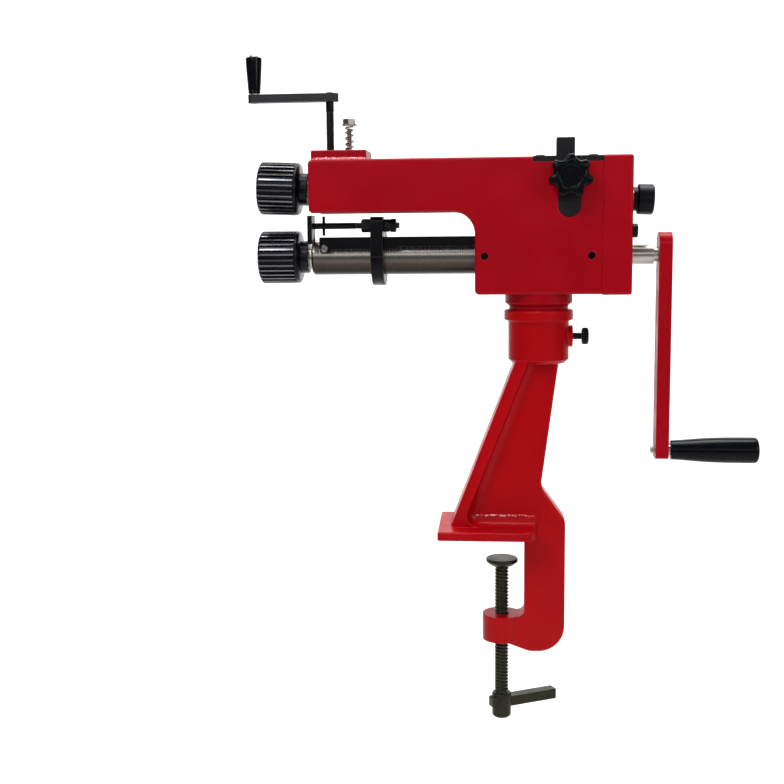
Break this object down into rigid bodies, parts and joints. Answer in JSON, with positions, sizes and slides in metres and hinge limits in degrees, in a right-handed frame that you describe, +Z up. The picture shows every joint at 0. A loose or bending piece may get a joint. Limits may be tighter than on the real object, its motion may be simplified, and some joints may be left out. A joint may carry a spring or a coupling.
{
  "type": "bead roller",
  "caption": "Hand-cranked bead roller on a bench clamp stand: geared ribbed rolls, tilting upper sleeve with adjusting crank and lifting spring, swivelling head and depth fence.",
  "frame": {"origin": "the bench face under the foot plate, on the clamp screw's axis", "axes": "+X toward the crank end, +Y away from the operator's side, +Z up"},
  "size_m": [0.5662, 0.1156, 0.7563],
  "materials": {
    "red_enamel": "glossy enamel on cast iron",
    "black_oxide": "black oxide",
    "turned_steel": "fine turned",
    "zinc_plate": "yellow zinc plate",
    "bronze": "plain",
    "black_plastic": "glossy",
    "dark_steel": "dull"
  },
  "bodies": {
    "stand": {"stand_casting": "red_enamel"},
    "clamp_pad": {"clamp_pad": "dark_steel"},
    "clamp_screw": {"clamp_screw": "dark_steel", "clamp_tee_bar": "dark_steel"},
    "lock_slug": {"lock_slug": "bronze"},
    "lock_screw": {"lock_screw": "black_oxide"},
    "head": {"head_casting": "red_enamel", "gear_cover": "red_enamel", "cover_screws": "black_oxide", "front_top_plate": "red_enamel", "pivot_hanger": "black_oxide", "hanger_screws": "black_oxide", "pivot_pins": "turned_steel", "knob_stud": "black_oxide", "lower_sleeve": "turned_steel", "sleeve_set_screws": "black_oxide", "lower_bushes": "bronze", "guide_bar": "black_oxide", "guide_bolt": "black_oxide", "lifting_spring": "zinc_plate"},
    "star_knob": {"star_knob": "black_plastic"},
    "lower_line": {"lower_shaft": "turned_steel", "lower_keys": "turned_steel", "lower_roll": "black_oxide", "lower_roll_screw": "turned_steel", "lower_gear": "turned_steel", "crank_arm": "red_enamel", "crank_screw": "turned_steel", "grip_pin": "turned_steel"},
    "crank_grip": {"crank_grip": "black_plastic"},
    "upper_sleeve": {"upper_sleeve": "turned_steel", "upper_bushes": "bronze", "lifting_bolt": "zinc_plate"},
    "upper_line": {"upper_shaft": "turned_steel", "upper_keys": "turned_steel", "upper_roll": "black_oxide", "upper_roll_screw": "turned_steel", "upper_gear": "turned_steel", "shaft_collar": "black_oxide", "collar_set_screw": "black_oxide"},
    "pressure_pad": {"pressure_pad": "turned_steel"},
    "adjusting_crank": {"adjusting_screw": "black_oxide", "adjusting_crank": "black_oxide", "adjusting_grip_pin": "turned_steel"},
    "adjusting_grip": {"adjusting_grip": "black_plastic"},
    "fence": {"fence_ring": "black_oxide", "fence_rod": "black_oxide", "fence_nuts": "black_oxide", "fence_plate": "black_oxide", "fence_pin": "black_oxide"}
  },
  "joints": [
    {"name": "clamp_feed", "type": "slide", "parent": "stand", "child": "clamp_pad", "axis": [0, 0, 1], "range_m": [-0.0505, 0.0225]},
    {"name": "clamp_turn", "type": "hinge", "parent": "clamp_pad", "child": "clamp_screw", "pos_m": [0, 0, -0.1], "axis": [0, 0, 1], "range_deg": [-4500, 1980]},
    {"name": "lock_feed", "type": "slide", "parent": "stand", "child": "lock_slug", "axis": [1, 0, 0], "range_m": [-0.0001, 0.0041]},
    {"name": "lock_turn", "type": "hinge", "parent": "lock_slug", "child": "lock_screw", "pos_m": [0.09, 0, 0.2224], "axis": [1, 0, 0], "range_deg": [0, 1080]},
    {"name": "head_swivel", "type": "hinge", "parent": "stand", "child": "head", "pos_m": [0.04, 0, 0.2224], "axis": [0, 0, 1], "continuous": true},
    {"name": "star_knob_turn", "type": "hinge", "parent": "head", "child": "star_knob", "pos_m": [0.071, -0.05, 0.3954], "axis": [0, -1, 0], "continuous": true},
    {"name": "main_crank_turn", "type": "hinge", "parent": "head", "child": "lower_line", "pos_m": [0.04, 0, 0.312], "axis": [1, 0, 0], "continuous": true},
    {"name": "crank_grip_turn", "type": "hinge", "parent": "lower_line", "child": "crank_grip", "pos_m": [0.2294, 0, 0.0945], "axis": [1, 0, 0], "continuous": true},
    {"name": "upper_tilt", "type": "hinge", "parent": "head", "child": "upper_sleeve", "pos_m": [0.071, 0, 0.375], "axis": [0, -1, 0], "range_deg": [-0.01, 3.13], "deforming": ["lifting_spring"]},
    {"name": "upper_shaft_turn", "type": "hinge", "parent": "upper_sleeve", "child": "upper_line", "pos_m": [0.071, 0, 0.375], "axis": [0.9992, 0, -0.0407], "continuous": true},
    {"name": "pad_feed", "type": "slide", "parent": "head", "child": "pressure_pad", "axis": [0, 0, -1], "range_m": [-0.00002, 0.01425]},
    {"name": "adjusting_crank_turn", "type": "hinge", "parent": "pressure_pad", "child": "adjusting_crank", "pos_m": [-0.1903, 0, 0.462], "axis": [0, 0, -1], "range_deg": [0, 2560.56]},
    {"name": "adjusting_grip_turn", "type": "hinge", "parent": "adjusting_crank", "child": "adjusting_grip", "pos_m": [-0.2743, 0, 0.512], "axis": [0, 0, -1], "continuous": true},
    {"name": "fence_slide", "type": "slide", "parent": "head", "child": "fence", "axis": [1, 0, 0], "range_m": [0, 0.074]}
  ],
  "couplings": [
    {"joint": "clamp_feed", "follows": "clamp_turn", "m_per_rad": 0.00063662},
    {"joint": "lock_feed", "follows": "lock_turn", "m_per_rad": 0.00019894},
    {"joint": "upper_shaft_turn", "follows": "main_crank_turn", "ratio": -1},
    {"joint": "pad_feed", "follows": "adjusting_crank_turn", "m_per_rad": 0.00031831},
    {"joint": "upper_tilt", "follows": "adjusting_crank_turn", "ratio": 0.0012167}
  ]
}
